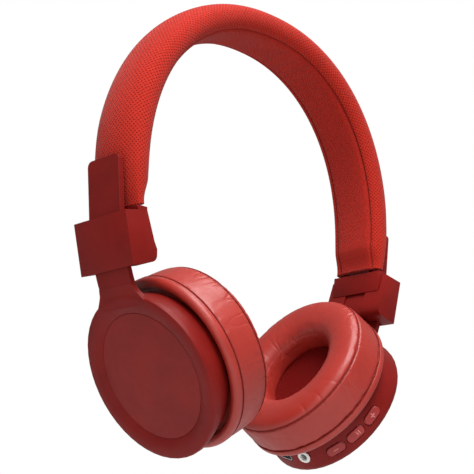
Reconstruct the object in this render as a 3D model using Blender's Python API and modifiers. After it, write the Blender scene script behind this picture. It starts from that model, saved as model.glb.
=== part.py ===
"""Folding on-ear headphones: a padded sprung band, two fold-in sliding arms and two swivelling ear cups."""

from math import atan2, cos, radians, sin

import bmesh
import bpy
from mathutils import Matrix, Vector

for old_object in list(bpy.data.objects):
    bpy.data.objects.remove(old_object, do_unlink=True)

# Driving dimensions, in millimetres and degrees. Heights are counted from the centre of the cup discs,
# and everything is lowered by CROWN_Z, so that the row's origin is the spot that rests on the crown.
MM = 0.001
CROWN_Z = 161.9
LEFT, RIGHT = -1, 1
SIDE_NAMES = {LEFT: "left", RIGHT: "right"}

# Headband: a superellipse arch over two short legs that lean inward.
BAND_HALF_SPAN = 76.2
BAND_RISE = 86.7
BAND_POWER = 2.15
BAND_SPRING_Z = 83.1
BAND_END_Z = 66.1
STRIP_END_Z = 61.9
LEG_LEAN = 2.6
STRIP_HALF_THICKNESS = 0.4
STRIP_HALF_WIDTH = 6.0
ARCH_STEPS = 34
LEG_STEPS = 7

# Cover and pad get thinner and narrower towards both ends: the share left at the end, and how far it reaches.
# The core of the section, around the steel strip, keeps its size.
OUTER_TAPER = (0.30, 40.0)
INNER_TAPER = (0.45, 12.0)
WIDTH_TAPER = (0.93, 18.0)
CORE_HALF_THICKNESS = 0.75
CORE_HALF_WIDTH = 6.5

# Ear cups: depth is counted inward from the outer face of the disc.
CUP_X = 55.8
CUP_TILT = 29.5
DISC_RADIUS = 35.4
WALL_RADIUS = 31.6
WALL_DEPTH = 13.0
RIM_DEPTH = 2.6
PLATE_RADIUS = 27.1
PLATE_DEPTH = 1.6
SWIVEL_DEPTH = 11.0
SWIVEL_PIN_RADIUS = 1.0
SWIVEL_PIN_ENDS = (19.2, 27.3)
LEFT_REST_SWIVEL = 5.0
SCREW_CIRCLE = 27.0
SCREW_ANGLES = (50, 130, 300)
SCREW_RADIUS = 0.7
SCREW_HEAD_RADIUS, SCREW_HEAD_HEIGHT = 1.5, 0.85

# Arm: leaves the disc along its plane, bends upright through the hinge block and ends on the band.
ARM_RECESS = 0.05
ARM_ROOT = 30.0
ARM_BEND_RADIUS = 88.0
ARM_TOP_TILT = 6.0
ARM_TOP_Z = 86.0
ARM_THICKNESS = 2.4
ARM_HALF_WIDTH = 10.3
ARM_CORNER_RADIUS = 2.6
ARM_GUIDE_X, ARM_GUIDE_Z = 79.0, 50.0

# Flared neck, where the bar grows out of the disc.
NECK_X, NECK_DEPTH, NECK_LEAN = 33.0, 1.22, 2.5
NECK_HALF_THICKNESS = 1.1

# Hinge block, sleeve and fold pin.
PIN_X, PIN_Z = 70.5, 45.6
PIN_RADIUS = 1.2
RUNNING_GAP = 0.08
KNUCKLE_RADIUS = 3.1
BARREL_RADIUS = 2.8
BLOCK_HALF_WIDTH = 17.0
SLEEVE_HALF_WIDTH = 14.3
NEST_HALF_WIDTH = 14.7
LUG_HALF_WIDTH = 5.9
POCKET_GAP = 0.35

# Controls on the rim of the right cup: angle from the arm towards the front, and depth.
BUTTON_ANGLES = {"volume_up": 110.5, "play": 128.9, "volume_down": 147.3}
BUTTON_DEPTH = 6.0
BUTTON_LENGTH, BUTTON_WIDTH, BUTTON_THICKNESS = 9.2, 4.2, 2.4
BUTTON_PROUD = 0.6
JACK_ANGLE, JACK_DEPTH = 174.7, 8.0
USB_ANGLE, USB_DEPTH = 196.0, 7.6

parts = bpy.data.collections.new("folding_headphones")
cutters = bpy.data.collections.new("cutters")
bpy.context.scene.collection.children.link(parts)
bpy.context.scene.collection.children.link(cutters)


def material(name, colour, roughness, metallic=0.0):
    surface = bpy.data.materials.new(name)
    surface.use_nodes = True
    shader = surface.node_tree.nodes["Principled BSDF"]
    shader.inputs["Base Color"].default_value = (*colour, 1.0)
    shader.inputs["Roughness"].default_value = roughness
    shader.inputs["Metallic"].default_value = metallic
    return surface


COVER_KNIT = (0.46, 0.03, 0.024)
PAD_KNIT = (0.29, 0.022, 0.018)
SHELL_RED = (0.18, 0.015, 0.015)
PLATE_RED = (0.2, 0.024, 0.023)
CUSHION_RED = (0.48, 0.063, 0.047)
BUTTON_RED = (0.3, 0.045, 0.053)
STEEL = (0.55, 0.55, 0.56)
BLACK = (0.02, 0.02, 0.022)
WHITE = (0.8, 0.8, 0.78)
BOARD_GREEN = (0.02, 0.16, 0.07)
SILVER_POUCH = (0.6, 0.6, 0.62)
SCRIM_MAROON = (0.08, 0.006, 0.006)


# ---------------------------------------------------------------- frames

def side_frame(side):
    """Upright outlines are drawn as (outward, height) and given their width front to back."""
    axes = Matrix(((side, 0, 0), (0, 0, -side), (0, 1, 0))).to_4x4()
    return Matrix.Translation((0, 0, -CROWN_Z * MM)) @ axes


def cup_frame(side):
    """Origin at the centre of the disc's outer face, x up along the arm and z inward to the ear."""
    tilt = radians(CUP_TILT)
    inward = Vector((-side * cos(tilt), 0, sin(tilt)))
    up = Vector((side * sin(tilt), 0, cos(tilt)))
    axes = Matrix((up, inward.cross(up), inward)).transposed().to_4x4()
    return Matrix.Translation(Vector((side * CUP_X, 0, -CROWN_Z)) * MM) @ axes


def speaker_frame(side):
    """The cup frame turned about the swivel axis: the left speaker rests a little turned to the front."""
    turn = Matrix.Rotation(radians(-LEFT_REST_SWIVEL if side == LEFT else 0), 4, "X")
    pivot = Matrix.Translation((0, 0, SWIVEL_DEPTH * MM))
    return cup_frame(side) @ pivot @ turn @ pivot.inverted()


def rim_frame(angle, depth):
    """Frame on the right cup's tapered wall: z points out of the wall, x runs round it."""
    slope = (DISC_RADIUS - WALL_RADIUS) / (WALL_DEPTH - RIM_DEPTH)
    radius = DISC_RADIUS - (depth - RIM_DEPTH) * slope
    round_axis = Matrix.Rotation(-radians(angle), 4, "Z")
    lean = Matrix.Rotation(radians(90) - atan2(slope, 1), 4, "Y")
    out = Matrix.Translation(Vector((radius, 0, depth)) * MM) @ lean
    return cup_frame(RIGHT) @ round_axis @ out @ Matrix.Rotation(radians(90), 4, "Z")


# ---------------------------------------------------------------- shapes

def add_object(name, data, frame, surface, collection=None):
    obj = bpy.data.objects.new(name, data)
    obj.matrix_world = frame
    if surface:
        data.materials.append(surface)
    (collection or parts).objects.link(obj)
    return obj


def mesh_object(name, shape, frame, surface):
    bmesh.ops.recalc_face_normals(shape, faces=shape.faces)
    mesh = bpy.data.meshes.new(name)
    shape.to_mesh(mesh)
    shape.free()
    return add_object(name, mesh, frame, surface)


def turned(name, profile, frame, surface, steps=36):
    """Turn (radius, depth) points about z. A profile that starts and ends on the axis makes a solid disc."""
    closed_area = sum(a[0] * b[1] - b[0] * a[1] for a, b in zip(profile, profile[1:] + profile[:1]))
    points = profile if closed_area < 0 else profile[::-1]
    on_axis = points[0][0] == 0 and points[-1][0] == 0
    count = len(points)
    edges = [(i, i + 1) for i in range(count - 1)]
    if not on_axis:
        edges.append((count - 1, 0))
    mesh = bpy.data.meshes.new(name)
    mesh.from_pydata([(radius * MM, 0, depth * MM) for radius, depth in points], edges, [])
    obj = add_object(name, mesh, frame, surface)
    screw = obj.modifiers.new("turn", "SCREW")
    screw.steps = steps
    screw.render_steps = steps
    screw.use_merge_vertices = True
    screw.merge_threshold = 0.00001
    return obj


def plate(name, points, half_width, frame, surface):
    """A flat outline made thick on both sides of its plane, as a mesh."""
    curve = bpy.data.curves.new(name + "_outline", "CURVE")
    curve.dimensions = "2D"
    curve.fill_mode = "BOTH"
    curve.extrude = half_width * MM
    spline = curve.splines.new("POLY")
    spline.points.add(len(points) - 1)
    for point, (x, y) in zip(spline.points, points):
        point.co = (x * MM, y * MM, 0, 1)
    spline.use_cyclic_u = True
    drawn = add_object(name + "_outline", curve, frame, None)
    drawn_mesh = bpy.data.meshes.new_from_object(drawn.evaluated_get(bpy.context.evaluated_depsgraph_get()))
    shape = bmesh.new()
    shape.from_mesh(drawn_mesh)
    bmesh.ops.remove_doubles(shape, verts=shape.verts, dist=1e-6)
    bpy.data.objects.remove(drawn, do_unlink=True)
    return mesh_object(name, shape, frame, surface)


def arc(centre_x, centre_y, radius, start, end, steps):
    """Points on an arc, with angles in degrees."""
    angles = [radians(start + (end - start) * i / steps) for i in range(steps + 1)]
    return [(centre_x + radius * cos(a), centre_y + radius * sin(a)) for a in angles]


def add_box(shape, centre, size):
    made = bmesh.ops.create_cube(shape, size=1.0)["verts"]
    bmesh.ops.scale(shape, verts=made, vec=Vector(size) * MM)
    bmesh.ops.translate(shape, verts=made, vec=Vector(centre) * MM)


def add_rod(shape, start, end, radius):
    start, end = Vector(start), Vector(end)
    run = end - start
    made = bmesh.ops.create_cone(shape, cap_ends=True, segments=16, radius1=radius * MM, radius2=radius * MM,
                                 depth=run.length * MM)["verts"]
    turn = Vector((0, 0, 1)).rotation_difference(run).to_matrix().to_4x4()
    bmesh.ops.transform(shape, verts=made, matrix=Matrix.Translation((start + end) / 2 * MM) @ turn)
    return made


def add_screw(shape, spot, tip, shoulder):
    """A pan-head screw as one body: the shaft's top face is widened, then raised."""
    shaft = add_rod(shape, (*spot, tip), (*spot, shoulder), SCREW_RADIUS)
    top_faces = {face for vert in shaft for face in vert.link_faces}
    top = max(top_faces, key=lambda face: face.calc_center_median().z)
    centre = top.calc_center_median()
    for growth, rise in ((SCREW_HEAD_RADIUS / SCREW_RADIUS, 0), (1, SCREW_HEAD_HEIGHT)):
        top = extrude_in_place(shape, top)
        bmesh.ops.scale(shape, verts=top.verts, vec=(growth, growth, 1), space=Matrix.Translation(-centre))
        bmesh.ops.translate(shape, verts=top.verts, vec=(0, 0, rise * MM))


def extrude_in_place(shape, face):
    made = bmesh.ops.extrude_face_region(shape, geom=[face])["geom"]
    bmesh.ops.delete(shape, geom=[face], context="FACES_ONLY")
    return next(item for item in made if isinstance(item, bmesh.types.BMFace))


def lozenge(length, width, steps=6):
    """A slot outline with round ends, along x."""
    straight = (length - width) / 2
    return arc(straight, 0, width / 2, -90, 90, steps) + arc(-straight, 0, width / 2, 90, 270, steps)


def bevel(obj, width, segments=2, angle=35):
    modifier = obj.modifiers.new("round", "BEVEL")
    modifier.width = width * MM
    modifier.segments = segments
    modifier.limit_method = "ANGLE"
    modifier.angle_limit = radians(angle)


def combine(obj, tool, operation="DIFFERENCE"):
    """Boolean with a tool that is kept in the cutters' collection."""
    for holder in list(tool.users_collection):
        holder.objects.unlink(tool)
    cutters.objects.link(tool)
    tool.hide_render = True
    tool.display_type = "WIRE"
    modifier = obj.modifiers.new(operation.lower(), "BOOLEAN")
    modifier.operation = operation
    modifier.solver = "EXACT"
    modifier.object = tool


def rods_object(name, rods, frame, surface):
    """Several separate rods, each (start, end, radius), as one mesh."""
    shape = bmesh.new()
    for start, end, radius in rods:
        add_rod(shape, start, end, radius)
    return mesh_object(name, shape, frame, surface)


# ---------------------------------------------------------------- headband

def ease(fraction):
    fraction = min(max(fraction, 0.0), 1.0)
    return fraction * fraction * (3 - 2 * fraction)


def leg_x(z):
    """Distance of the band's centre line from the mid-plane, below the spring line."""
    return BAND_HALF_SPAN - LEG_LEAN * ((BAND_SPRING_Z - z) / 20) ** 2


def band_path(end_z):
    """Centre line points (x, z) from the left end over the top to the right end."""
    heights = [end_z + (BAND_SPRING_Z - end_z) * i / LEG_STEPS for i in range(LEG_STEPS)]
    leg = [(leg_x(z), z) for z in heights]
    half = []
    for i in range(ARCH_STEPS // 2 + 1):
        turn = radians(90) * i / (ARCH_STEPS // 2)
        x = BAND_HALF_SPAN * cos(turn) ** (2 / BAND_POWER) if i < ARCH_STEPS // 2 else 0.0
        half.append((x, BAND_SPRING_Z + BAND_RISE * sin(turn) ** (2 / BAND_POWER)))
    right = leg + half
    return [(-x, z) for x, z in right[:-1]] + [(0.0, right[-1][1])] + right[-2::-1]


def taper(from_end, end_share, reach):
    """1 along most of the band, falling to end_share at its ends."""
    return end_share + (1 - end_share) * ease(from_end / reach)


def band_sweep(name, section, end_z, surface, tapered=True):
    """Carry a closed section of (width, outward) points along the band, thinner towards both ends."""
    path = [Vector((x, 0, z)) for x, z in band_path(end_z)]
    lengths = [0.0]
    for a, b in zip(path, path[1:]):
        lengths.append(lengths[-1] + (b - a).length)
    shape = bmesh.new()
    rings = []
    for i, point in enumerate(path):
        along = (path[min(i + 1, len(path) - 1)] - path[max(i - 1, 0)]).normalized()
        outward = Vector((-along.z, 0, along.x))
        from_end = min(lengths[i], lengths[-1] - lengths[i])
        outer = taper(from_end, *OUTER_TAPER) if tapered else 1.0
        inner = taper(from_end, *INNER_TAPER) if tapered else 1.0
        width = taper(from_end, *WIDTH_TAPER) if tapered else 1.0
        ring = []
        for y, n in section:
            core = min(max(n, -CORE_HALF_THICKNESS), CORE_HALF_THICKNESS)
            offset = core + (n - core) * (outer if n > 0 else inner)
            across = y * width if abs(y) > CORE_HALF_WIDTH else y
            place = point + outward * offset + Vector((0, across, -CROWN_Z))
            ring.append(shape.verts.new(place * MM))
        rings.append(ring)
    count = len(section)
    for first, second in zip(rings, rings[1:]):
        for i in range(count):
            j = (i + 1) % count
            shape.faces.new((first[i], first[j], second[j], second[i]))
    shape.faces.new(rings[0])
    shape.faces.new(rings[-1])
    return mesh_object(name, shape, Matrix.Identity(4), surface)


def mirrored(points):
    """A closed section from its half with y above zero, listed from one end to the other."""
    return points + [(-y, n) for y, n in points[::-1]]


def build_headband():
    core = CORE_HALF_THICKNESS
    dome = [(4.4, 6.8), (8.6, 5.8), (12.1, 4.0), (14.1, 1.8), (14.8, -0.6), (14.6, -3.2), (13.5, -5.3),
            (11.6, -6.4)]
    under_lip = [(10.9, -5.5), (11.9, -3.7), (11.9, core), (5.0, core)]
    cover = mirrored(dome + under_lip)
    band_sweep("headband_cover", [(0.0, 7.1)] + cover, BAND_END_Z, material("cover_knit", COVER_KNIT, 0.9))
    notch = [(7.9, -core), (7.9, -2.5), (9.9, -2.5), (9.9, -core)]
    edge = [(11.4, -core), (11.4, -3.6), (10.4, -5.6), (10.4, -6.7), (8.6, -7.5), (4.0, -7.9)]
    pad = [(5.0, -core)] + notch + edge + [(-y, n) for y, n in edge[::-1]] + [(-5.0, -core)]
    band_sweep("headband_pad", pad, BAND_END_Z, material("pad_knit", PAD_KNIT, 0.9))
    w, t = STRIP_HALF_WIDTH, STRIP_HALF_THICKNESS
    strip = [(w, t), (w, -t), (-w, -t), (-w, t)]
    band_sweep("spring_band", strip, STRIP_END_Z, material("spring_steel", STEEL, 0.3, 1.0), tapered=False)
    lead = arc(8.9, -1.5, 0.55, 0, 315, 7)
    band_sweep("band_lead", lead, BAND_SPRING_Z - 0.5, material("lead_black", BLACK, 0.6), tapered=False)


def build_sleeve(side):
    name = "sleeve_" + SIDE_NAMES[side]
    frame = side_frame(side)
    surface = material(name, SHELL_RED, 0.5)
    body = [(71.3, 65.2), (70.3, 55.2), (75.4, 62.8), (76.1, 63.4), (76.8, 65.2)]
    sleeve = plate(name, body, SLEEVE_HALF_WIDTH, frame, surface)
    bevel(sleeve, 0.7)
    barrel = arc(PIN_X, PIN_Z, BARREL_RADIUS, -175, 0, 12)
    lug = [(72.0, 58.0), (71.8, 55.3), (69.3, 50.6)] + barrel + [(73.2, 52.0), (72.3, 57.6)]
    combine(sleeve, plate(name + "_lug", lug, LUG_HALF_WIDTH, frame, None), "UNION")
    floor_z, mouth_z = STRIP_END_Z - 0.4, BAND_END_Z + 0.4
    low, high = leg_x(floor_z), leg_x(mouth_z)
    gap = STRIP_HALF_THICKNESS + POCKET_GAP
    pocket = [(low - gap, floor_z), (low + gap, floor_z), (high + gap, mouth_z), (high - gap, mouth_z)]
    combine(sleeve, plate(name + "_pocket", pocket, STRIP_HALF_WIDTH + POCKET_GAP, frame, None))
    bore = [((PIN_X, PIN_Z, -20), (PIN_X, PIN_Z, 20), PIN_RADIUS + RUNNING_GAP)]
    combine(sleeve, rods_object(name + "_bore", bore, frame, None))


# ---------------------------------------------------------------- hinge block and arm

def build_hinge_block(side):
    name = "hinge_block_" + SIDE_NAMES[side]
    frame = side_frame(side)
    knuckle = arc(PIN_X, PIN_Z, KNUCKLE_RADIUS, 175, 262, 8)
    body = [(84.2, 60.9), (73.5, 63.2), (69.0, 51.0), (67.5, 48.2)] + knuckle + [(78.9, 39.8)]
    block = plate(name, body, BLOCK_HALF_WIDTH, frame, material(name, SHELL_RED, 0.5))
    bevel(block, 0.7)
    channel = [(82.6, 65), (82.0, 59.8), (80.15, 50), (79.0, 44.5), (77.95, 39.8), (77.1, 36),
               (71.6, 36), (72.9, 39), (74.9, 44.5), (75.5, 50), (76.5, 59.8), (77.0, 65)]
    combine(block, plate(name + "_channel", channel, ARM_HALF_WIDTH + 0.4, frame, None))
    nest = [(77.1, 64.9), (66.6, 49.3), (60, 49.3), (60, 67), (77.1, 67)]
    combine(block, plate(name + "_nest", nest, NEST_HALF_WIDTH, frame, None))
    recess = [(64, 37), (77.0, 37), (77.0, 49.0), (73.8, 51.0), (73.1, 60.5), (64, 60.5)]
    combine(block, plate(name + "_recess", recess, LUG_HALF_WIDTH + 0.4, frame, None))
    bore = [((PIN_X, PIN_Z, -16.2), (PIN_X, PIN_Z, 16.2), PIN_RADIUS + RUNNING_GAP)]
    combine(block, rods_object(name + "_bore", bore, frame, None))
    pin = [((PIN_X, PIN_Z, -15.9), (PIN_X, PIN_Z, 15.9), PIN_RADIUS)]
    steel = material("fold_pin_" + SIDE_NAMES[side], STEEL, 0.3, 1.0)
    return [block, rods_object("fold_pin_" + SIDE_NAMES[side], pin, frame, steel)]


def arm_outline():
    """The bar's side view: an arc that uncurls from the disc's plane, then a straight top."""
    tilt = radians(CUP_TILT)
    root_x = CUP_X + ARM_ROOT * sin(tilt) - ARM_RECESS * cos(tilt)
    root_z = ARM_ROOT * cos(tilt) + ARM_RECESS * sin(tilt)
    centre_x, centre_z = root_x - ARM_BEND_RADIUS * cos(tilt), root_z + ARM_BEND_RADIUS * sin(tilt)
    start, end, steps = -CUP_TILT, -ARM_TOP_TILT, 14
    outer = arc(centre_x, centre_z, ARM_BEND_RADIUS, start, end, steps)
    inner = arc(centre_x, centre_z, ARM_BEND_RADIUS - ARM_THICKNESS, start, end, steps)
    rise = Vector((sin(radians(ARM_TOP_TILT)), cos(radians(ARM_TOP_TILT))))
    top_outer = Vector(outer[-1]) + rise * (ARM_TOP_Z - outer[-1][1]) / rise.y
    top_inner = Vector(inner[-1]) + rise * (ARM_TOP_Z - inner[-1][1]) / rise.y
    back = Vector((-sin(tilt), -cos(tilt))) * 0.3
    foot = [tuple(Vector(inner[0]) + back), tuple(Vector(outer[0]) + back)]
    return foot + outer + [tuple(top_outer), tuple(top_inner)] + inner[::-1]


def build_disc_shell(side):
    name = "arm_" + SIDE_NAMES[side]
    frame = cup_frame(side)
    surface = material(name, SHELL_RED, 0.45)
    profile = [(27.2, 1.7), (30.2, 0.2), (34.3, 0.0), (35.1, 0.3), (DISC_RADIUS, 1.0),
               (DISC_RADIUS, RIM_DEPTH), (WALL_RADIUS, WALL_DEPTH), (29.8, WALL_DEPTH), (33.0, 4.3),
               (32.4, 3.7), (24.0, 3.7), (24.0, 3.0), (27.2, 3.0)]
    shell = turned(name, profile, frame, surface, steps=48)
    bar = plate(name + "_bar", arm_outline(), ARM_HALF_WIDTH, side_frame(side), None)
    front = Matrix.Translation((0, 0, -CROWN_Z * MM)) @ Matrix(((0, 0, 1), (1, 0, 0), (0, 1, 0))).to_4x4()
    edge, corner = ARM_HALF_WIDTH + 0.4, ARM_CORNER_RADIUS
    rounded = [(-edge, 10), (edge, 10), (edge, 60), (ARM_HALF_WIDTH, 62)]
    rounded += arc(ARM_HALF_WIDTH - corner, ARM_TOP_Z - corner, corner, 0, 90, 6)
    rounded += arc(corner - ARM_HALF_WIDTH, ARM_TOP_Z - corner, corner, 90, 180, 6)
    rounded += [(-ARM_HALF_WIDTH, 62), (-edge, 60)]
    combine(bar, plate(name + "_rounding", rounded, 120.0, front, None), "INTERSECT")
    bevel(bar, 0.4, segments=1, angle=60)
    combine(shell, bar, "UNION")
    flare = [(-3.0, -16.0), (0.4, -13.2), (3.0, -11.2), (6.0, -10.2), (6.0, 10.2), (3.0, 11.2), (0.4, 13.2),
             (-3.0, 16.0)]
    lean = Matrix.Rotation(-radians(NECK_LEAN), 4, "Y")
    neck_place = frame @ Matrix.Translation((NECK_X * MM, 0, NECK_DEPTH * MM)) @ lean
    combine(shell, plate(name + "_neck", flare, NECK_HALF_THICKNESS, neck_place, None), "UNION")
    holes = [((*spot, 3.1), (*spot, 4.5), SCREW_RADIUS + 0.15) for spot in screw_spots()]
    combine(shell, rods_object(name + "_screw_holes", holes, frame, None))
    return shell


def screw_spots():
    return [(SCREW_CIRCLE * cos(radians(a)), SCREW_CIRCLE * sin(radians(a))) for a in SCREW_ANGLES]


def build_cup(side):
    """Everything that is fixed to the arm and moves with it."""
    tag = SIDE_NAMES[side]
    frame = cup_frame(side)
    shell = build_disc_shell(side)
    edge, back = 0.15, PLATE_DEPTH + 1.2
    face = [(0, PLATE_DEPTH), (PLATE_RADIUS - edge, PLATE_DEPTH), (PLATE_RADIUS, PLATE_DEPTH + edge),
            (PLATE_RADIUS, back), (0, back)]
    plate_red = material("face_plate_" + tag, PLATE_RED, 0.38)
    face_plate = turned("face_plate_" + tag, face, frame, plate_red, steps=48)
    ring = [(23.4, 9.6), (29.4, 9.6), (29.4, 12.4), (23.4, 12.4)]
    chassis = turned("swivel_frame_" + tag, ring, frame, material("swivel_frame_" + tag, SHELL_RED, 0.5))
    combine(chassis, swivel_bores("swivel_frame_bores_" + tag, frame, 18.0, 27.6))
    clearance = [((*spot, 8.0), (*spot, 14.0), SCREW_RADIUS + 0.25) for spot in screw_spots()]
    combine(chassis, rods_object("swivel_frame_holes_" + tag, clearance, frame, None))
    made = [shell, face_plate, chassis]
    for place, end in (("upper", 1), ("lower", -1)):
        name = f"swivel_pin_{place}_{tag}"
        inner, outer = [end * reach for reach in SWIVEL_PIN_ENDS]
        pin = [((inner, 0, SWIVEL_DEPTH), (outer, 0, SWIVEL_DEPTH), SWIVEL_PIN_RADIUS)]
        made.append(rods_object(name, pin, frame, material(name, STEEL, 0.3, 1.0)))
    for number, spot in enumerate(screw_spots(), start=1):
        name = f"chassis_screw_{tag}_{number}"
        screw = bmesh.new()
        add_screw(screw, spot, 3.3, 12.75)
        made.append(mesh_object(name, screw, frame, material(name, STEEL, 0.3, 1.0)))
    return made


def swivel_bores(name, frame, near, far):
    """Cutter for the two bores on the swivel axis, between two distances from the cup's middle."""
    bores = [((end * near, 0, SWIVEL_DEPTH), (end * far, 0, SWIVEL_DEPTH), SWIVEL_PIN_RADIUS + RUNNING_GAP)
             for end in (-1, 1)]
    return rods_object(name, bores, frame, None)


# ---------------------------------------------------------------- speaker and cushion

def build_speaker(side):
    """The swivelling half of a cup, from the driver's back cup to the ear cushion."""
    tag = SIDE_NAMES[side]
    frame = speaker_frame(side)
    cushion_red = material("cushion_leather_" + tag, CUSHION_RED, 0.42)
    black = material("speaker_black_" + tag, BLACK, 0.5)
    shell_red = material("speaker_shell_" + tag, SHELL_RED, 0.5)
    magnet_steel = material("driver_magnet_" + tag, STEEL, 0.35, 1.0)
    cone_film = material("driver_cone_" + tag, SILVER_POUCH, 0.5)
    scrim_cloth = material("ear_scrim_" + tag, SCRIM_MAROON, 0.95)
    lip = [(33.6, 14.8), (34.4, 13.8), (35.8, 13.5), (37.1, 14.2), (37.6, 15.6), (37.1, 17.0), (35.9, 17.7),
           (33.6, 17.7)]
    cushion = [(35.4, 18.1), (36.6, 18.4), (37.2, 21.0), (37.5, 25.5), (37.2, 29.8), (36.4, 32.6),
               (34.8, 34.5), (31.5, 35.8), (27.0, 36.1), (22.4, 35.0), (19.0, 32.8), (17.2, 29.6),
               (17.0, 26.0), (17.6, 22.6), (18.6, 20.1), (35.4, 20.1)]
    baffle = [(17.4, 18.0), (35.0, 18.0), (35.0, 19.8), (17.4, 19.8)]
    back_cup = [(0, 9.7), (19.5, 9.7), (20.0, 10.2), (20.0, 16.2), (23.2, 16.2), (23.2, 17.7), (18.5, 17.7),
                (18.5, 10.9), (0, 10.9)]
    basket = [(10.2, 14.4), (13.0, 14.4), (17.1, 18.2), (17.1, 19.4), (15.6, 19.4), (15.6, 18.4),
              (12.4, 15.6), (10.2, 15.6)]
    magnet = [(0, 11.4), (8.8, 11.4), (8.8, 14.0), (0, 14.0)]
    cone = [(0, 16.0), (4.0, 16.4), (7.0, 17.6), (11.0, 17.2), (15.2, 18.9), (15.2, 19.3), (11.0, 17.7),
            (7.0, 18.1), (4.0, 16.9), (0, 16.5)]
    scrim = [(0, 20.15), (18.1, 20.15), (18.1, 20.6), (0, 20.6)]
    made = [
        turned("cushion_lip_" + tag, lip, frame, cushion_red, steps=40),
        turned("ear_cushion_" + tag, cushion, frame, cushion_red, steps=40),
        turned("speaker_baffle_" + tag, baffle, frame, shell_red, steps=40),
        turned("driver_basket_" + tag, basket, frame, black, steps=28),
        turned("driver_magnet_" + tag, magnet, frame, magnet_steel, steps=24),
        turned("driver_cone_" + tag, cone, frame, cone_film, steps=24),
        turned("ear_scrim_" + tag, scrim, frame, scrim_cloth, steps=36),
    ]
    cup = turned("driver_cup_" + tag, back_cup, frame, shell_red)
    combine(cup, swivel_bores("driver_cup_bores_" + tag, frame, 17.0, 21.5))
    made.append(cup)
    return made


# ---------------------------------------------------------------- controls and electronics

def build_controls():
    """Board, switches, sockets and the holes that the right shell needs for them."""
    frame = cup_frame(RIGHT)
    shell = bpy.data.objects["arm_right"]
    fixed = []
    board = turned("main_board", [(0, 5.0), (26.0, 5.0), (26.0, 6.0), (0, 6.0)], frame,
                   material("board_green", BOARD_GREEN, 0.4))
    fixed.append(board)
    for label, angle in BUTTON_ANGLES.items():
        name = "switch_" + label
        switch = bmesh.new()
        add_box(switch, (28.7, 0, 6.0), (4.6, 3.6, 1.6))
        turn = Matrix.Rotation(-radians(angle), 4, "Z")
        fixed.append(mesh_object(name, switch, frame @ turn, material(name, BLACK, 0.45)))
    buttons = {}
    for label, angle in BUTTON_ANGLES.items():
        spot = rim_frame(angle, BUTTON_DEPTH)
        name = "button_" + label
        cap_centre = spot @ Matrix.Translation((0, 0, (BUTTON_PROUD - BUTTON_THICKNESS / 2) * MM))
        cap = plate(name, lozenge(BUTTON_LENGTH, BUTTON_WIDTH), BUTTON_THICKNESS / 2, cap_centre,
                    material(name, BUTTON_RED, 0.4))
        bevel(cap, 0.35)
        buttons[label] = cap
        slot = lozenge(BUTTON_LENGTH + 0.7, BUTTON_WIDTH + 0.7)
        combine(shell, plate(name + "_slot", slot, 3.5, spot, None))
    jack = rim_frame(JACK_ANGLE, JACK_DEPTH)
    combine(shell, rods_object("aux_hole", [((0, 0, -6), (0, 0, 3), 2.9)], jack, None))
    ring = [(1.75, 0.7), (2.8, 0.7), (3.1, 0.4), (3.1, 0.35), (2.6, 0.35), (2.6, -5.5), (1.75, -5.5)]
    fixed.append(turned("aux_socket", ring, jack, material("aux_socket", WHITE, 0.35), steps=24))
    port = rim_frame(USB_ANGLE, USB_DEPTH)
    combine(shell, plate("usb_hole", lozenge(9.6, 3.9), 3.5, port, None))
    shroud = plate("usb_port", lozenge(9.0, 3.3), 3.0, port @ Matrix.Translation((0, 0, -3.1 * MM)),
                   material("usb_port", STEEL, 0.3, 1.0))
    mouth = port @ Matrix.Translation((0, 0, -2.0 * MM))
    combine(shroud, plate("usb_mouth", lozenge(8.3, 2.6), 2.6, mouth, None))
    fixed.append(shroud)
    return fixed, buttons


def build_battery():
    cell = bmesh.new()
    add_box(cell, (0, 0, 5.4), (22.0, 32.0, 2.6))
    pouch = material("battery_cell", SILVER_POUCH, 0.4, 0.3)
    battery = mesh_object("battery_cell", cell, cup_frame(LEFT), pouch)
    bevel(battery, 0.6)
    return battery


# ---------------------------------------------------------------- assembly

def joint_empty(name, frame):
    empty = bpy.data.objects.new(name, None)
    empty.matrix_world = frame
    empty.empty_display_size = 0.01
    parts.objects.link(empty)
    return empty


def attach(children, parent):
    for child in children:
        child.parent = parent
        child.matrix_parent_inverse = parent.matrix_world.inverted()


def smooth_shading():
    for obj in parts.objects:
        if obj.type == "MESH":
            obj.data.shade_smooth()
            obj.data.set_sharp_from_angle(angle=radians(35))


def main():
    build_headband()
    arm_groups = {}
    arm_empties = {}
    for side in (LEFT, RIGHT):
        tag = SIDE_NAMES[side]
        build_sleeve(side)
        block_parts = build_hinge_block(side)
        arm_groups[side] = build_cup(side)
        speaker_parts = build_speaker(side)
        pin_place = Matrix.Translation(Vector((side * PIN_X, 0, PIN_Z - CROWN_Z)) * MM)
        fold = joint_empty("fold_" + tag, pin_place)
        guide = Vector((side * ARM_GUIDE_X, 0, ARM_GUIDE_Z - CROWN_Z))
        extend = joint_empty("extend_" + tag, Matrix.Translation(guide * MM))
        swivel = joint_empty("swivel_" + tag, cup_frame(side) @ Matrix.Translation((0, 0, SWIVEL_DEPTH * MM)))
        attach(block_parts + [extend], fold)
        attach(arm_groups[side] + [swivel], extend)
        attach(speaker_parts, swivel)
        arm_empties[side] = extend
    fixed, buttons = build_controls()
    attach(fixed + list(buttons.values()), arm_empties[RIGHT])
    attach([build_battery()], arm_empties[LEFT])
    smooth_shading()


main()
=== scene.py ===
"""Folding on-ear headphones in red: knitted band, moulded arms and cups, soft coated ear cushions."""

from math import atan2, cos, exp, hypot, pi, radians, sin

import bmesh
import bpy
from mathutils import Matrix, Vector, noise


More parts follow.
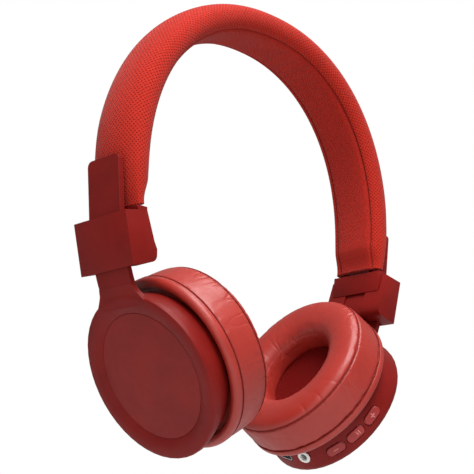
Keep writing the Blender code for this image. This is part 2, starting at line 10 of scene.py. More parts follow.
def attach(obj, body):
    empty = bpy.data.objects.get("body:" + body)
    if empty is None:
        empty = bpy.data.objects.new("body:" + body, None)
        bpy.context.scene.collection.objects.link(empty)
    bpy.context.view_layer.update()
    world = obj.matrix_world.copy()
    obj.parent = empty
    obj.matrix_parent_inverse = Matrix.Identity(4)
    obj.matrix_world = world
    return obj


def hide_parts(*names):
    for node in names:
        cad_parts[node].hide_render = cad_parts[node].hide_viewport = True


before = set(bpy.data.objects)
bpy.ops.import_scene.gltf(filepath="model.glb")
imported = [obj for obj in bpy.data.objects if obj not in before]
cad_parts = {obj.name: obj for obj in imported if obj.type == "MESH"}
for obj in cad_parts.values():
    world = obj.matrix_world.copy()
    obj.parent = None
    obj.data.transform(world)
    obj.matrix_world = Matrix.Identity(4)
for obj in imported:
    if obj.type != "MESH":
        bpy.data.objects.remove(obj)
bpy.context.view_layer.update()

MM = 0.001
LEFT, RIGHT = -1, 1
SIDE_NAMES = {LEFT: "left", RIGHT: "right"}

# The viewpoint: below the cups and to the front left, looking up.
VIEW_AZIMUTH, VIEW_ELEVATION, VIEW_ROLL = -43.023, -14.972, 1.524
VIEW_DISTANCE = 500.3
VIEW_TARGET = Vector((-8.98, 0.0, -93.95))
VIEW_LENS = 85.89

# The frame's own dimensions, in millimetres and degrees, with heights counted from the centre of the discs.
CROWN_Z = 161.9
BAND_HALF_SPAN, BAND_RISE, BAND_POWER, BAND_SPRING_Z = 76.2, 86.7, 2.15, 83.1
BAND_END_Z = 66.1
LEG_LEAN = 2.6
# Towards each end the band gets thinner and narrower: the share left at the end, and how far it reaches.
OUTER_TAPER, INNER_TAPER, WIDTH_TAPER = (0.30, 40), (0.45, 12), (0.93, 18)
CORE_HALF_THICKNESS = 0.75
CUP_X, CUP_TILT = 55.8, 29.5
DISC_RADIUS, WALL_RADIUS, WALL_DEPTH, RIM_DEPTH = 35.4, 31.6, 13.0, 2.6
SWIVEL_DEPTH, LEFT_REST_SWIVEL = 11.0, 5.0
BUTTON_ANGLES = {"volume_up": 110.5, "play": 128.9, "volume_down": 147.3}
BUTTON_DEPTH = 6.0
BUTTON_LENGTH, BUTTON_WIDTH, BUTTON_THICKNESS = 9.2, 4.2, 2.4
BUTTON_PROUD = 0.6
JACK_ANGLE, JACK_DEPTH = 174.7, 8.0
SEAM_RADIUS, SEAM_DEPTH = 36.3, 31.9

# Making the stuffed cushions: the remeshed cover's voxel, the steps that it swells for, and how sharply the
# sewn seam cuts in.
COVER_VOXEL = 1.8
SWELL_STEPS = 20
SEAM_HALF_WIDTH = 0.55
MARK_HEIGHT = 0.36

# Colours.
KNIT_BRIGHT, KNIT_HOLE = (0.49, 0.026, 0.014), (0.27, 0.010, 0.006)
PAD_BRIGHT, PAD_HOLE = (0.46, 0.024, 0.014), (0.28, 0.012, 0.007)
SHELL_RED, PLATE_RED, BUTTON_RED = (0.185, 0.008, 0.006), (0.215, 0.010, 0.007), (0.31, 0.026, 0.024)
# The button marks' lighter colour is a painted highlight on the raised marks.
BUTTON_MARK_HIGHLIGHT = (0.60, 0.16, 0.15)
# The second leather colour is painted shade, laid along the leather's crease lines.
LEATHER_RED, LEATHER_CREASE_SHADE = (0.36, 0.026, 0.017), (0.28, 0.017, 0.011)
SCRIM_RED, SCRIM_HOLE = (0.19, 0.004, 0.003), (0.10, 0.002, 0.002)
SEAM_RED = (0.19, 0.010, 0.007)
BLACK, STEEL, WHITE = (0.02, 0.02, 0.022), (0.55, 0.55, 0.56), (0.78, 0.77, 0.74)
CONTACT_GREY, CONE_GREY = (0.16, 0.18, 0.16), (0.5, 0.5, 0.52)
BOARD_GREEN, POUCH_SILVER = (0.02, 0.16, 0.07), (0.6, 0.6, 0.62)


# ---------------------------------------------------------------- studio

def make_camera():
    azimuth, elevation, roll = radians(VIEW_AZIMUTH), radians(VIEW_ELEVATION), radians(VIEW_ROLL)
    back = Vector((sin(azimuth) * cos(elevation), -cos(azimuth) * cos(elevation), sin(elevation)))
    level = Vector((cos(azimuth), sin(azimuth), 0))
    upright = back.cross(level)
    right = level * cos(roll) + upright * sin(roll)
    up = upright * cos(roll) - level * sin(roll)
    camera = bpy.data.objects.new("camera", bpy.data.cameras.new("camera"))
    camera.data.lens = VIEW_LENS
    camera.data.sensor_width = 36
    camera.data.clip_start = 0.01
    place = (VIEW_TARGET + back * VIEW_DISTANCE) * MM
    camera.matrix_world = Matrix.Translation(place) @ Matrix((right, up, back)).transposed().to_4x4()
    bpy.context.scene.collection.objects.link(camera)
    bpy.context.scene.camera = camera


def soft_light(name, place, size, power, aim=(0, 0, -0.1)):
    light = bpy.data.lights.new(name, "AREA")
    light.size = size
    light.energy = power
    lamp = bpy.data.objects.new(name, light)
    lamp.location = place
    lamp.rotation_euler = (Vector(aim) - Vector(place)).to_track_quat("-Z", "Y").to_euler()
    bpy.context.scene.collection.objects.link(lamp)


def make_studio():
    world = bpy.data.worlds.new("studio")
    world.use_nodes = True
    nodes, links = world.node_tree.nodes, world.node_tree.links
    nodes.clear()
    fill = nodes.new("ShaderNodeBackground")
    fill.inputs["Strength"].default_value = 0.27
    backdrop = nodes.new("ShaderNodeBackground")
    backdrop.inputs["Strength"].default_value = 1.0
    for background in (fill, backdrop):
        background.inputs["Color"].default_value = (1, 1, 1, 1)
    seen = nodes.new("ShaderNodeLightPath")
    choose = nodes.new("ShaderNodeMixShader")
    output = nodes.new("ShaderNodeOutputWorld")
    links.new(seen.outputs["Is Camera Ray"], choose.inputs["Fac"])
    links.new(fill.outputs[0], choose.inputs[1])
    links.new(backdrop.outputs[0], choose.inputs[2])
    links.new(choose.outputs[0], output.inputs["Surface"])
    bpy.context.scene.world = world
    bpy.context.scene.view_settings.view_transform = "Standard"
    soft_light("key_softbox", (-0.35, -0.6, 0.8), 0.7, 16.0)
    soft_light("front_fill", (-0.9, -0.7, 0.15), 0.9, 3.6)
    soft_light("top_sheen", (0.1, -0.1, 0.9), 0.6, 6.0)
    floor_shape = bmesh.new()
    bmesh.ops.create_grid(floor_shape, x_segments=1, y_segments=1, size=6)
    bmesh.ops.translate(floor_shape, verts=floor_shape.verts, vec=(0, 0, -0.4))
    floor = add_piece("floor", floor_shape)
    pale = start_finish("pale_floor", 0.8, Base_Color=(0.7, 0.7, 0.7, 1), Emission_Color=(1, 1, 1, 1))
    seen_directly = add_node(pale, "ShaderNodeLightPath").outputs["Is Camera Ray"]
    lift = add_node(pale, "ShaderNodeMath", {0: seen_directly, 1: 0.5}, operation="MULTIPLY")
    wire(pale, lift.outputs[0], "Emission Strength")
    floor.data.materials.append(pale)


# ---------------------------------------------------------------- finishes

def start_finish(name, roughness, **sockets):
    finish = bpy.data.materials.new(name)
    finish.use_nodes = True
    shader = finish.node_tree.nodes["Principled BSDF"]
    shader.inputs["Roughness"].default_value = roughness
    for socket, value in sockets.items():
        shader.inputs[socket.replace("_", " ")].default_value = value
    return finish


def add_node(finish, kind, sockets=None, **settings):
    node = finish.node_tree.nodes.new(kind)
    for setting, value in settings.items():
        setattr(node, setting, value)
    for socket, value in (sockets or {}).items():
        if isinstance(value, bpy.types.NodeSocket):
            finish.node_tree.links.new(value, node.inputs[socket])
        else:
            node.inputs[socket].default_value = value
    return node


def object_place(finish):
    return add_node(finish, "ShaderNodeTexCoord").outputs["Object"]


def cloudy(finish, place, scale, detail=3.0, distortion=0.0):
    sockets = {"Vector": place, "Scale": scale, "Detail": detail, "Distortion": distortion}
    return add_node(finish, "ShaderNodeTexNoise", sockets).outputs["Fac"]


def cells(finish, place, scale, randomness=1.0, feature="F1"):
    sockets = {"Vector": place, "Scale": scale, "Randomness": randomness}
    return add_node(finish, "ShaderNodeTexVoronoi", sockets, feature=feature).outputs["Distance"]


def spread(finish, value, low, high, new_low=0.0, new_high=1.0):
    sockets = {"Value": value, "From Min": low, "From Max": high, "To Min": new_low, "To Max": new_high}
    return add_node(finish, "ShaderNodeMapRange", sockets, interpolation_type="SMOOTHSTEP").outputs["Result"]


def tint(finish, share, first, second):
    first = first if isinstance(first, bpy.types.NodeSocket) else (*first, 1)
    second = second if isinstance(second, bpy.types.NodeSocket) else (*second, 1)
    return add_node(finish, "ShaderNodeMix", {0: share, 6: first, 7: second}, data_type="RGBA").outputs[2]


def relief(finish, height, depth, strength=1.0, under=None):
    sockets = {"Height": height, "Distance": depth * MM, "Strength": strength}
    if under:
        sockets["Normal"] = under
    return add_node(finish, "ShaderNodeBump", sockets).outputs["Normal"]


def wire(finish, output, socket):
    finish.node_tree.links.new(output, finish.node_tree.nodes["Principled BSDF"].inputs[socket])


def shade(colour, share):
    return tuple(channel * share for channel in colour)


def moulded(name, colour, roughness=0.45, metallic=0.0, grain=0.35, gloss=0.35):
    """Satin moulded plastic or metal: spark-eroded grain, and a little unevenness in colour and gloss."""
    finish = start_finish(name, roughness, Metallic=metallic, Specular_IOR_Level=gloss)
    place = object_place(finish)
    uneven = spread(finish, cloudy(finish, place, 55, 4), 0.3, 0.7)
    wire(finish, tint(finish, uneven, shade(colour, 0.9), shade(colour, 1.1)), "Base Color")
    patches = cloudy(finish, place, 300, 5)
    wire(finish, spread(finish, patches, 0.3, 0.7, roughness - 0.05, roughness + 0.06), "Roughness")
    wire(finish, relief(finish, cloudy(finish, place, 3000, 2), 0.03, grain), "Normal")
    return finish


def brushed(name, colour, roughness=0.32):
    """Steel with fine scratches along the width."""
    finish = start_finish(name, roughness, Metallic=1.0)
    stretch = add_node(finish, "ShaderNodeMapping", {"Vector": object_place(finish), "Scale": (1, 0.06, 1)})
    streak = cloudy(finish, stretch.outputs["Vector"], 2600, 3)
    wire(finish, tint(finish, streak, shade(colour, 0.8), shade(colour, 1.15)), "Base Color")
    wire(finish, spread(finish, streak, 0.3, 0.7, roughness - 0.08, roughness + 0.1), "Roughness")
    wire(finish, relief(finish, streak, 0.01, 0.4), "Normal")
    return finish


def knitted(name, bright, hole, pitch, hole_size=0.34, depth=0.22, sheen=0.1):
    """Knit in diagonal rows of small open loops, on the piece's own weave map, which is in millimetres."""
    finish = start_finish(name, 0.9, Sheen_Weight=sheen, Sheen_Roughness=0.4, Specular_IOR_Level=0.12)
    weave = add_node(finish, "ShaderNodeUVMap", uv_map="weave").outputs["UV"]
    rows = add_node(finish, "ShaderNodeMapping", {"Vector": weave, "Rotation": (0, 0, radians(45)),
                                                  "Scale": (1 / pitch, 1 / pitch, 1)}).outputs["Vector"]
    centre = cells(finish, rows, 1.0, 0.08)
    yarn = spread(finish, centre, hole_size * 0.45, hole_size * 1.25)
    fibre = cloudy(finish, rows, 5.0, 3)
    patchy = spread(finish, cloudy(finish, object_place(finish), 70, 3), 0.3, 0.7)
    thread = tint(finish, patchy, shade(bright, 0.92), shade(bright, 1.06))
    thread = tint(finish, spread(finish, fibre, 0.35, 0.7), shade(bright, 0.8), thread)
    wire(finish, tint(finish, yarn, hole, thread), "Base Color")
    loops = relief(finish, yarn, depth, 0.8)
    wire(finish, relief(finish, fibre, depth * 0.3, 0.5, loops), "Normal")
    return finish


def soft_leather(name, colour, crease_shade):
    """Coated leather: pebbled grain, fine creases whose lines carry painted shade, and a soft gloss that
    varies.
    """
    finish = start_finish(name, 0.5, Coat_Weight=0.4, Coat_Roughness=0.32, Specular_IOR_Level=0.3)
    place = object_place(finish)
    pebble = cells(finish, place, 1500, 1.0)
    crease = cloudy(finish, place, 130, 5, 0.9)
    signed = add_node(finish, "ShaderNodeMath", {0: crease, 1: 0.5}, operation="SUBTRACT").outputs[0]
    distance = add_node(finish, "ShaderNodeMath", {0: signed}, operation="ABSOLUTE").outputs[0]
    ridge = spread(finish, distance, 0.0, 0.035)
    worn = spread(finish, cloudy(finish, place, 45, 4), 0.3, 0.7)
    colouring = tint(finish, worn, shade(colour, 0.93), shade(colour, 1.05))
    # Painted shade: along the crease lines the colour is pulled a quarter of the way towards the darker
    # crease colour.
    colouring = tint(finish, ridge, tint(finish, 0.25, colour, crease_shade), colouring)
    wire(finish, colouring, "Base Color")
    wire(finish, spread(finish, cloudy(finish, place, 260, 4), 0.3, 0.7, 0.42, 0.56), "Roughness")
    grain = relief(finish, pebble, 0.05, 0.35)
    wire(finish, relief(finish, ridge, 0.05, 0.25, grain), "Normal")
    return finish


# ---------------------------------------------------------------- frames

def cup_frame(side):
    """Origin at the centre of the disc's outer face, x up along the arm and z inward to the ear."""
    tilt = radians(CUP_TILT)
    inward = Vector((-side * cos(tilt), 0, sin(tilt)))
    up = Vector((side * sin(tilt), 0, cos(tilt)))
    axes = Matrix((up, inward.cross(up), inward)).transposed().to_4x4()
    return Matrix.Translation(Vector((side * CUP_X, 0, -CROWN_Z)) * MM) @ axes


def speaker_frame(side):
    """The cup frame turned about the swivel axis: the left speaker rests a little turned to the front."""
    turn = Matrix.Rotation(radians(-LEFT_REST_SWIVEL if side == LEFT else 0), 4, "X")
    pivot = Matrix.Translation((0, 0, SWIVEL_DEPTH * MM))
    return cup_frame(side) @ pivot @ turn @ pivot.inverted()


def rim_frame(angle, depth):
    """Frame on the right cup's tapered wall: z points out of the wall, x runs round it."""
    slope = (DISC_RADIUS - WALL_RADIUS) / (WALL_DEPTH - RIM_DEPTH)
    radius = DISC_RADIUS - (depth - RIM_DEPTH) * slope
    round_axis = Matrix.Rotation(-radians(angle), 4, "Z")
    lean = Matrix.Rotation(radians(90) - atan2(slope, 1), 4, "Y")
    out = Matrix.Translation(Vector((radius, 0, depth)) * MM) @ lean
    return cup_frame(RIGHT) @ round_axis @ out @ Matrix.Rotation(radians(90), 4, "Z")


# ---------------------------------------------------------------- making pieces

def add_piece(name, shape, place=None, finish=None, smooth_angle=None):
    """Put a finished bmesh into the scene, with its place in its mesh."""
    if place:
        bmesh.ops.transform(shape, verts=shape.verts, matrix=place)
    mesh = bpy.data.meshes.new(name)
    shape.to_mesh(mesh)
    shape.free()
    piece = bpy.data.objects.new(name, mesh)
    bpy.context.scene.collection.objects.link(piece)
    if finish:
        mesh.materials.append(finish)
    if smooth_angle:
        mesh.shade_smooth()
        mesh.set_sharp_from_angle(angle=radians(smooth_angle))
    return piece


def settled_mesh(piece):
    """The piece's mesh with its modifiers made permanent."""
    evaluated = piece.evaluated_get(bpy.context.evaluated_depsgraph_get())
    mesh = bpy.data.meshes.new_from_object(evaluated)
    piece.modifiers.clear()
    piece.data = mesh
    return piece


def subdivide(piece, levels):
    rounding = piece.modifiers.new("rounding", "SUBSURF")
    rounding.levels = levels
    rounding.render_levels = levels
    return piece


def soften(points, times=2):
    """Round a closed outline by cutting its corners."""
    for _ in range(times):
        cut = []
        for a, b in zip(points, points[1:] + points[:1]):
            a, b = Vector(a), Vector(b)
            cut += [tuple(a * 0.75 + b * 0.25), tuple(a * 0.25 + b * 0.75)]
        points = cut
    return points


def spun(profile, steps, closed=True):
    """Turn (radius, depth) points about z."""
    shape = bmesh.new()
    ring = [shape.verts.new((radius * MM, 0, depth * MM)) for radius, depth in profile]
    pairs = list(zip(ring, ring[1:])) + ([(ring[-1], ring[0])] if closed else [])
    edges = [shape.edges.new(pair) for pair in pairs]
    bmesh.ops.spin(shape, geom=ring + edges, cent=(0, 0, 0), axis=(0, 0, 1), dvec=(0, 0, 0), angle=2 * pi,
                   steps=steps, use_merge=True, use_duplicate=False)
    bmesh.ops.remove_doubles(shape, verts=shape.verts, dist=1e-6)
    bmesh.ops.recalc_face_normals(shape, faces=shape.faces)
    return shape


# ---------------------------------------------------------------- headband

def ease(fraction):
    fraction = min(max(fraction, 0.0), 1.0)
    return fraction * fraction * (3 - 2 * fraction)


def band_path(arch_steps=150, leg_steps=16):
    """Centre line points from the left end over the top to the right end."""
    leg = []
    for i in range(leg_steps):
        z = BAND_END_Z + (BAND_SPRING_Z - BAND_END_Z) * i / leg_steps
        leg.append((BAND_HALF_SPAN - LEG_LEAN * ((BAND_SPRING_Z - z) / 20) ** 2, z))
    half = []
    for i in range(arch_steps // 2 + 1):
        turn = radians(90) * i / (arch_steps // 2)
        across = cos(turn) if i < arch_steps // 2 else 0.0
        rise = BAND_RISE * sin(turn) ** (2 / BAND_POWER)
        half.append((BAND_HALF_SPAN * across ** (2 / BAND_POWER), BAND_SPRING_Z + rise))
    right = leg + half
    return [Vector((-x, 0, z)) for x, z in right[:-1]] + [Vector((x, 0, z)) for x, z in right[::-1]]


def taper(from_end, end_share, reach):
    """1 along most of the band, falling to end_share at its ends."""
    return end_share + (1 - end_share) * ease(from_end / reach)


def extrude_ring(shape, ring, edges):
    """Extrude a closed ring of edges once, and return the new ring in the old one's order, and its edges."""
    made = bmesh.ops.extrude_edge_only(shape, edges=edges)["geom"]
    fresh = {item for item in made if isinstance(item, bmesh.types.BMVert)}
    new_edges = [item for item in made if isinstance(item, bmesh.types.BMEdge) and set(item.verts) <= fresh]
    neighbours = [[edge.other_vert(vert) for edge in vert.link_edges] for vert in ring]
    return [next(vert for vert in near if vert in fresh) for near in neighbours], new_edges


def band_sweep(name, section, finish, slot):
    """Carry a closed section of (width, outward) points along the band by extruding it, with a weave map."""
    path = band_path()
    travelled = [0.0]
    for a, b in zip(path, path[1:]):
        travelled.append(travelled[-1] + (b - a).length)
    round_section = [0.0]
    for a, b in zip(section, section[1:]):
        round_section.append(round_section[-1] + hypot(b[0] - a[0], b[1] - a[1]))
    shape = bmesh.new()
    across = shape.verts.layers.float.new("across")
    along = shape.verts.layers.float.new("along")
    ring = [shape.verts.new((0, 0, 0)) for _ in section]
    edges = [shape.edges.new(pair) for pair in zip(ring, ring[1:] + ring[:1])]
    first_edges = edges
    for i, point in enumerate(path):
        if i:
            ring, edges = extrude_ring(shape, ring, edges)
        direction = (path[min(i + 1, len(path) - 1)] - path[max(i - 1, 0)]).normalized()
        outward = Vector((-direction.z, 0, direction.x))
        from_end = min(travelled[i], travelled[-1] - travelled[i])
        outer, inner = taper(from_end, *OUTER_TAPER), taper(from_end, *INNER_TAPER)
        width = taper(from_end, *WIDTH_TAPER)
        for j, (y, n) in enumerate(section):
            core = min(max(n, -CORE_HALF_THICKNESS), CORE_HALF_THICKNESS)
            offset = core + (n - core) * (outer if n > 0 else inner)
            ring[j].co = (point + outward * offset + Vector((0, y * width, -CROWN_Z))) * MM
            ring[j][across], ring[j][along] = round_section[j], travelled[i]
    for end_edges in (first_edges, edges):
        bmesh.ops.contextual_create(shape, geom=end_edges)
    bmesh.ops.recalc_face_normals(shape, faces=shape.faces)
    weave = shape.loops.layers.uv.new("weave")
    for face in shape.faces:
        marks = [vert[across] for vert in face.verts]
        wraps = max(marks) - min(marks) > round_section[-1] / 2
        for loop in face.loops:
            extra = round_section[-1] if wraps and loop.vert[across] < round_section[-1] / 2 else 0.0
            loop[weave].uv = (loop.vert[across] + extra, loop.vert[along])
    return dress(add_piece(name, shape, None, finish, 50), "headband", slot)


def dress(piece, body, slot, *nodes):
    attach(piece, body)
    if nodes:
        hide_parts(*nodes)
    return piece


def make_headband():
    knit = knitted("cover_knit", KNIT_BRIGHT, KNIT_HOLE, 1.3)
    fine_knit = knitted("pad_knit", PAD_BRIGHT, PAD_HOLE, 0.95)
    right_half = [(0.0, 0.75), (11.9, 0.75), (11.9, -3.7), (11.5, -4.6), (10.9, -5.4), (11.0, -6.3),
                  (11.6, -6.5), (13.5, -5.4), (14.7, -3.2), (14.9, -0.6), (14.2, 1.9), (12.1, 4.1),
                  (8.6, 5.9), (4.4, 6.9), (0.0, 7.15)]
    cover = right_half + [(-y, n) for y, n in right_half[-2:0:-1]]
    cover_piece = band_sweep("headband_cover_knit", soften(cover, 2), knit, "cover_knit")
    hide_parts("headband_cover")
    right_half = [(0.0, -0.75), (7.9, -0.8), (7.9, -2.5), (9.9, -2.5), (9.9, -0.8), (11.4, -0.8),
                  (11.4, -3.6), (10.5, -5.2), (10.3, -6.2), (9.9, -7.0), (8.6, -7.6), (6.4, -7.85),
                  (4.0, -7.95), (0.0, -8.0)]
    pad = right_half + [(-y, n) for y, n in right_half[-2:0:-1]]
    pad_piece = band_sweep("headband_pad_knit", soften(pad, 2), fine_knit, "pad_knit")
    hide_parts("headband_pad")


# ---------------------------------------------------------------- ear cushions

def swell(piece, held, pressure, most):
    """Fill a closed cover until it swells, moving no point further than most. held says how firmly each
    point is sewn down, from 0 to 1."""
    remesh = piece.modifiers.new("cover", "REMESH")
    remesh.mode = "VOXEL"
    remesh.voxel_size = COVER_VOXEL * MM
    settled_mesh(piece)
    before = [vert.co.copy() for vert in piece.data.vertices]
    sewn = piece.vertex_groups.new(name="sewn")
    for i, spot in enumerate(before):
        sewn.add([i], held(spot / MM), "REPLACE")
    cloth = piece.modifiers.new("fill", "CLOTH")
    cloth.settings.vertex_group_mass = "sewn"
    cloth.settings.use_pressure = True
    cloth.settings.uniform_pressure_force = pressure
    cloth.settings.mass = 0.15
    cloth.settings.effector_weights.gravity = 0
    cloth.point_cache.frame_start, cloth.point_cache.frame_end = 1, SWELL_STEPS
    scene = bpy.context.scene
    for number in range(1, SWELL_STEPS + 1):
        scene.frame_set(number)
    settled_mesh(piece)
    scene.frame_set(1)
    for vert, start in zip(piece.data.vertices, before):
        move = vert.co - start
        if move.length > most * MM:
            vert.co = start + move.normalized() * most * MM
    piece.vertex_groups.clear()
    return piece


def ring_place(spot, middle_radius, middle_depth):
    """Where a point of a ring-shaped piece lies: angle round the ring and angle round its section."""
    return atan2(spot.y, spot.x), atan2(spot.z - middle_depth, hypot(spot.x, spot.y) - middle_radius)


def crumple(piece, seams, middle, depth, spacing, seed, glued_below):
    """Sink the seams, given as (radius, depth, sink), and press soft creases that run across the ring."""
    for vert in piece.data.vertices:
        spot = vert.co / MM
        radius = hypot(spot.x, spot.y)
        around, section = ring_place(spot, *middle)
        out = Vector((cos(around) * cos(section), sin(around) * cos(section), sin(section)))
        sink = 0.0
        near_seam = 0.0
        for seam_radius, seam_depth, seam_sink in seams:
            away = hypot(radius - seam_radius, spot.z - seam_depth)
            sink += seam_sink * exp(-(away / SEAM_HALF_WIDTH) ** 2)
            near_seam = max(near_seam, exp(-(away / 5.0) ** 2))
        sway = Vector((cos(around), sin(around), 0)) * middle[0] / spacing + Vector((seed, 0, section * 0.55))
        fold = max(0.0, 1 - abs(noise.noise(sway)) * 7) ** 2
        broad = noise.noise(sway * 0.35 + Vector((0, seed, 0)))
        loose = ease((spot.z - glued_below) / 3)
        sink += depth * loose * (fold * (0.25 + 0.75 * near_seam) + 0.8 * broad)
        vert.co = (spot - out * sink) * MM
    return piece


def make_cushion(side, leather, thread):
    """A stuffed ring: a straight side wall up to the seam, then a full crown that rolls into the hole."""
    tag = SIDE_NAMES[side]
    outline = [(35.4, 16.6), (36.9, 16.7), (37.2, 18.5), (37.2, 19.5), (37.1, 23.0), (36.9, 27.5),
               (36.5, 31.2), (35.9, 32.7), (34.0, 34.4), (31.2, 35.3), (27.2, 35.5), (23.0, 34.7),
               (19.9, 32.6), (18.2, 29.6), (17.6, 26.0), (17.7, 22.6), (17.9, 20.4), (19.5, 19.9),
               (35.0, 19.9)]
    piece = add_piece("ear_cushion_leather_" + tag, spun(outline, 72), None, leather)

    def held(spot):
        """The cover is glued down at its base and inside the hole, and stitched along the seam."""
        radius = hypot(spot.x, spot.y)
        base = 1.0 if spot.z < 20.6 else 0.0
        wall = 0.75 if radius > 36 and spot.z < 31 else 0.0
        seam = exp(-(hypot(radius - SEAM_RADIUS, spot.z - SEAM_DEPTH) / 1.6) ** 2)
        return max(base, wall, seam, 0.02)

    swell(piece, held, 4.0, 1.2)
    piece.data.shade_smooth()
    settled_mesh(subdivide(piece, 2))
    seams = [(SEAM_RADIUS + 0.1, SEAM_DEPTH, 0.9), (18.1, 30.4, 0.2)]
    crumple(piece, seams, (27.0, 27.0), 0.26, 5.0, 3.1 + side, 19.5)
    piece.data.transform(speaker_frame(side))
    dress(piece, "speaker_" + tag, "cushion_leather", "ear_cushion_" + tag)
    for name, radius, depth, thickness in (("ear_cushion_seam_", SEAM_RADIUS - 0.36, SEAM_DEPTH - 0.1, 0.2),
                                           ("ear_cushion_piping_", 37.2, 17.85, 0.24)):
        turns = [radians(a) for a in range(0, 360, 60)]
        ring = [(radius + thickness * cos(a), depth + thickness * sin(a)) for a in turns]
        line = add_piece(name + tag, spun(ring, 160), speaker_frame(side), thread, 60)
        dress(line, "speaker_" + tag, "cushion_leather")


def make_lip(side, leather):
    """The soft rolled rim behind the cushion."""
    tag = SIDE_NAMES[side]
    outline = [(29.0, 17.66), (32.1, 17.6), (32.9, 15.4), (33.6, 14.2), (34.4, 13.7), (35.6, 13.4),
               (36.9, 14.0), (37.6, 15.3), (37.55, 16.6), (37.3, 17.5), (36.2, 17.9), (29.0, 17.9)]
    shape = spun(soften(outline, 1), 120)
    piece = settled_mesh(subdivide(add_piece("cushion_lip_leather_" + tag, shape, None, leather), 1))
    piece.data.shade_smooth()
    crumple(piece, [], (35.4, 15.6), 0.1, 6.0, 8.3 + side, 10.0)
    piece.data.transform(speaker_frame(side))
    dress(piece, "speaker_" + tag, "cushion_leather", "cushion_lip_" + tag)


def make_scrim(side, cloth):
    """Thin foam under a knitted scrim, dished a little inside the cushion's hole."""
    tag = SIDE_NAMES[side]
    top = [(18.7, 20.9), (17.6, 20.5), (15.0, 20.15), (10.0, 19.9), (5.0, 19.8), (0, 19.75)]
    bottom = [(0, 19.45), (12.0, 19.45), (17.0, 19.6), (18.7, 20.3)]
    shape = spun((top + bottom)[::-1], 64, closed=False)
    weave = shape.loops.layers.uv.new("weave")
    for face in shape.faces:
        for loop in face.loops:
            loop[weave].uv = (loop.vert.co.x / MM, loop.vert.co.y / MM)
    piece = add_piece("ear_scrim_knit_" + tag, shape, speaker_frame(side), cloth, 60)
    dress(piece, "speaker_" + tag, "scrim_maroon", "ear_scrim_" + tag)


# ---------------------------------------------------------------- controls

def lozenge_cap(length, width, low, high, rounding):
    """A rounded slot-shaped cap between two heights, with its upper edge bevelled."""
    shape = bmesh.new()
    bmesh.ops.create_circle(shape, cap_ends=True, radius=width / 2 * MM, segments=32)
    for vert in shape.verts:
        vert.co.x += (length - width) / 2 * MM * (1 if vert.co.x > 0 else -1 if vert.co.x < 0 else 0)
    bmesh.ops.translate(shape, verts=shape.verts, vec=(0, 0, low * MM))
    made = bmesh.ops.extrude_face_region(shape, geom=list(shape.faces))["geom"]
    top = [item for item in made if isinstance(item, bmesh.types.BMVert)]
    bmesh.ops.translate(shape, verts=top, vec=(0, 0, (high - low) * MM))
    rim = [edge for edge in shape.edges if all(vert in top for vert in edge.verts) and
           any(abs(face.normal.z) < 0.5 or len(face.verts) == 4 for face in edge.link_faces)]
    bmesh.ops.bevel(shape, geom=rim, offset=rounding * MM, segments=3, profile=0.5, affect="EDGES",
                    material=-1)
    bmesh.ops.recalc_face_normals(shape, faces=shape.faces)
    return shape


def raised_bar(shape, centre, size, height):
    made = bmesh.ops.create_cube(shape, size=1.0)["verts"]
    bmesh.ops.scale(shape, verts=made, vec=Vector((*size, height)) * MM)
    bmesh.ops.translate(shape, verts=made, vec=Vector(centre) * MM)
    edges = {edge for vert in made for edge in vert.link_edges}
    bmesh.ops.bevel(shape, geom=list(edges), offset=0.08 * MM, segments=2, profile=0.5, affect="EDGES",
                    material=-1)


def make_buttons():
    """Caps with plain raised marks: plus, minus, and a triangle with two bars; the marks are coloured lighter
    than the cap, a painted highlight for the light they catch.
    """
    cap_red = moulded("button_red", BUTTON_RED, 0.4, gloss=0.4)
    # Painted highlight: the raised marks get a lighter colour than the cap.
    mark_highlight = moulded("button_mark_highlight", BUTTON_MARK_HIGHLIGHT, 0.5, gloss=0.3)
    for label, angle in BUTTON_ANGLES.items():
        top = BUTTON_PROUD
        shape = lozenge_cap(BUTTON_LENGTH, BUTTON_WIDTH, top - BUTTON_THICKNESS, top, 0.5)
        cap_faces = len(shape.faces)
        if label == "play":
            bmesh.ops.create_cone(shape, cap_ends=True, segments=3, radius1=1.15 * MM, radius2=1.05 * MM,
                                  depth=MARK_HEIGHT * MM, matrix=Matrix.Translation((-1.3 * MM, 0, top * MM)))
            raised_bar(shape, (0.8, 0, top), (0.55, 2.0), MARK_HEIGHT)
            raised_bar(shape, (1.9, 0, top), (0.55, 2.0), MARK_HEIGHT)
        else:
            raised_bar(shape, (0, 0, top), (2.6, 0.6), MARK_HEIGHT)
        if label == "volume_up":
            raised_bar(shape, (0, 0, top), (0.6, 2.6), 0.35)
        shape.faces.ensure_lookup_table()
        for face in shape.faces[cap_faces:]:
            face.material_index = 1
        piece = add_piece("button_cap_" + label, shape, rim_frame(angle, BUTTON_DEPTH), cap_red, 40)
        piece.data.materials.append(mark_highlight)
        dress(piece, "button_" + label, "button_red", "button_" + label)


def make_jack_contact():
    """The grey sleeve inside the socket."""
    profile = [(0, -1.6), (1.1, -1.6), (1.1, -1.0), (1.68, -0.5), (1.68, -4.5), (0, -4.5)]
    shape = spun(profile, 24, closed=False)
    piece = add_piece("aux_contact", shape, rim_frame(JACK_ANGLE, JACK_DEPTH),
                      moulded("contact_grey", CONTACT_GREY, 0.4, grain=0.1), 40)
    dress(piece, "arm_right", "socket_white")


# ---------------------------------------------------------------- carried-over nodes

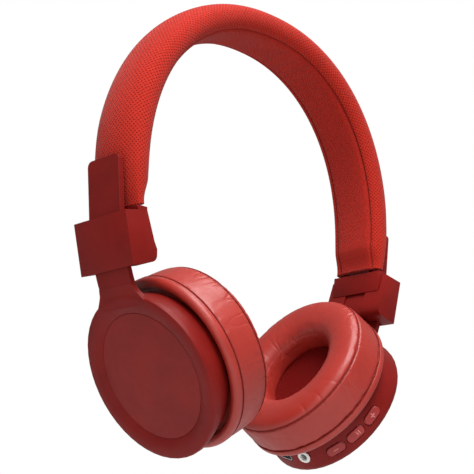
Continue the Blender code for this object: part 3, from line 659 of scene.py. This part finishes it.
def shade_group():
    """Merge a CAD mesh's loose triangles and shade it smooth except across its real edges."""
    group = bpy.data.node_groups.new("merge_and_shade", "GeometryNodeTree")
    group.interface.new_socket(name="Geometry", in_out="INPUT", socket_type="NodeSocketGeometry")
    group.interface.new_socket(name="Geometry", in_out="OUTPUT", socket_type="NodeSocketGeometry")
    nodes, links = group.nodes, group.links
    start, end = nodes.new("NodeGroupInput"), nodes.new("NodeGroupOutput")
    merge = nodes.new("GeometryNodeMergeByDistance")
    merge.inputs["Distance"].default_value = 1e-6
    faces_smooth = nodes.new("GeometryNodeSetShadeSmooth")
    edges_sharp = nodes.new("GeometryNodeSetShadeSmooth")
    edges_sharp.domain = "EDGE"
    edges_sharp.inputs["Shade Smooth"].default_value = False
    angle = nodes.new("GeometryNodeInputMeshEdgeAngle")
    sharp = nodes.new("FunctionNodeCompare")
    sharp.operation = "GREATER_THAN"
    sharp.inputs[1].default_value = radians(33)
    links.new(start.outputs[0], merge.inputs[0])
    links.new(merge.outputs[0], faces_smooth.inputs[0])
    links.new(faces_smooth.outputs[0], edges_sharp.inputs[0])
    links.new(angle.outputs["Unsigned Angle"], sharp.inputs[0])
    links.new(sharp.outputs[0], edges_sharp.inputs["Selection"])
    links.new(edges_sharp.outputs[0], end.inputs[0])
    return group


def finish_nodes():
    shell = moulded("shell_red", SHELL_RED, 0.42, gloss=0.16)
    steel = brushed("spring_steel", STEEL)
    black = moulded("black_plastic", BLACK, 0.5)
    finishes = {
        "sleeve": shell, "hinge_block": shell, "arm": shell,
        "face_plate": moulded("plate_red", PLATE_RED, 0.4, gloss=0.2),
        "spring_band": steel, "fold_pin": steel, "swivel_pin": steel, "chassis_screw": steel,
        "usb_port": steel, "driver_magnet": steel, "swivel_frame": shell, "speaker_baffle": shell,
        "driver_cup": shell,
        "driver_basket": black, "switch": black, "band_lead": black,
        "driver_cone": moulded("cone_grey", CONE_GREY, 0.4),
        "main_board": moulded("board_green", BOARD_GREEN, 0.38),
        "battery_cell": moulded("pouch_silver", POUCH_SILVER, 0.35, metallic=0.6),
        "aux_socket": moulded("socket_white", WHITE, 0.3, grain=0.1),
    }
    group = shade_group()
    for name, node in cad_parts.items():
        kind = next((key for key in finishes if name.startswith(key)), None)
        if kind:
            node.data.materials.clear()
            node.data.materials.append(finishes[kind])
            shading = node.modifiers.new("shading", "NODES")
            shading.node_group = group


make_camera()
make_studio()
finish_nodes()
make_headband()
cushion_leather = soft_leather("cushion_leather", LEATHER_RED, LEATHER_CREASE_SHADE)
seam_thread = moulded("seam_thread", SEAM_RED, 0.7, gloss=0.2)
scrim_cloth = knitted("scrim_maroon", SCRIM_RED, SCRIM_HOLE, 1.1, hole_size=0.4, depth=0.15, sheen=0.0)
for cup_side in (LEFT, RIGHT):
    make_cushion(cup_side, cushion_leather, seam_thread)
    make_lip(cup_side, cushion_leather)
    make_scrim(cup_side, scrim_cloth)
make_buttons()
make_jack_contact()
